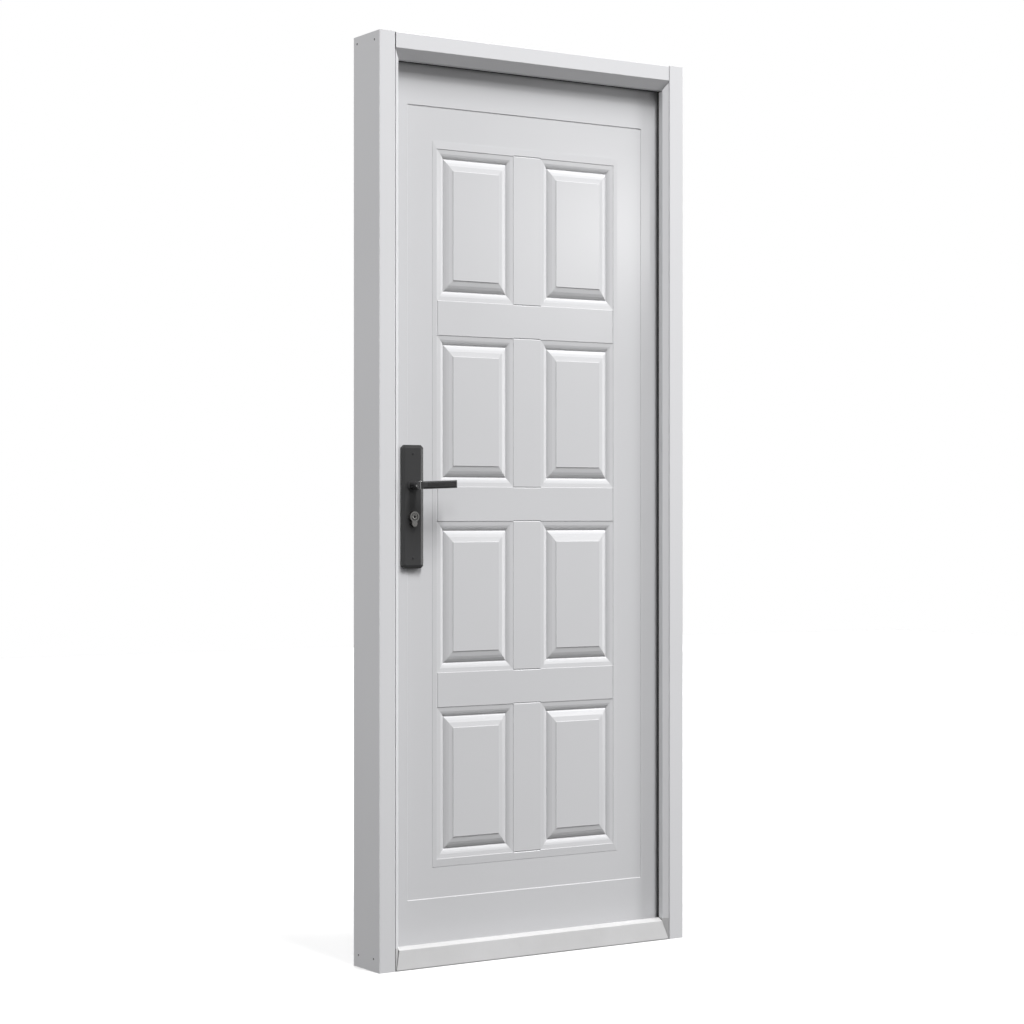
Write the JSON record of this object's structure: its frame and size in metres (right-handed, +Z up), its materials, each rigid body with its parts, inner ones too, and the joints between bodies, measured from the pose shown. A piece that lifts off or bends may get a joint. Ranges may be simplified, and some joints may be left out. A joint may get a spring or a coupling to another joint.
{
  "type": "steel front door in its frame",
  "caption": "Panelled steel front door leaf hung in a deep folded steel frame with a sill, with long black lock plates, levers and a keyed cylinder.",
  "frame": {"origin": "middle of the frame's width and depth, on the underside of the threshold", "axes": "+Z up, +X to the right seen from outdoors, +Y indoors through the doorway"},
  "size_m": [0.82, 0.168, 2.05],
  "materials": {
    "frame_paint": "satin pale grey powder coat",
    "leaf_paint": "semi-gloss pale grey powder coat",
    "seal_rubber": "matt black rubber",
    "barrel_paint": "satin pale grey powder coat",
    "pin_steel": "zinc plated",
    "lock_steel": "satin nickel plated",
    "black_metal": "satin near-black plating",
    "grip_black": "matt black, finely knurled",
    "nickel": "satin nickel"
  },
  "bodies": {
    "frame": {"left_jamb": "frame_paint", "right_jamb": "frame_paint", "head_rail": "frame_paint", "threshold": "frame_paint", "strike_plate": "lock_steel", "left_seal": "seal_rubber", "right_seal": "seal_rubber", "head_seal": "seal_rubber", "lower_frame_barrel": "barrel_paint", "lower_hinge_pin": "pin_steel", "middle_frame_barrel": "barrel_paint", "middle_hinge_pin": "pin_steel", "upper_frame_barrel": "barrel_paint", "upper_hinge_pin": "pin_steel"},
    "leaf": {"outer_skin": "leaf_paint", "inner_skin": "leaf_paint", "hinge_stile": "leaf_paint", "lock_stile": "leaf_paint", "top_rail": "leaf_paint", "bottom_rail": "leaf_paint", "lock_forend": "lock_steel", "latch_bolt": "lock_steel", "deadbolts": "lock_steel", "lock_case": "lock_steel", "outer_plate": "black_metal", "inner_plate": "black_metal", "lock_cylinder": "nickel", "outer_key_plug": "nickel", "inner_key_plug": "nickel", "lower_leaf_barrel": "barrel_paint", "middle_leaf_barrel": "barrel_paint", "upper_leaf_barrel": "barrel_paint"},
    "lever": {"spindle": "pin_steel", "outer_lever": "black_metal", "inner_lever": "black_metal", "outer_grip_insert": "grip_black", "inner_grip_insert": "grip_black"}
  },
  "joints": [
    {"name": "leaf_hinge", "type": "hinge", "parent": "frame", "child": "leaf", "pos_m": [0.3555, 0.0375, 1.025], "axis": [0, 0, -1], "range_deg": [0, 90]},
    {"name": "lever_turn", "type": "hinge", "parent": "leaf", "child": "lever", "pos_m": [-0.31, 0.0025, 1.061], "axis": [0, 1, 0], "range_deg": [0, 40], "stiffness_Nm_per_rad": 1}
  ]
}
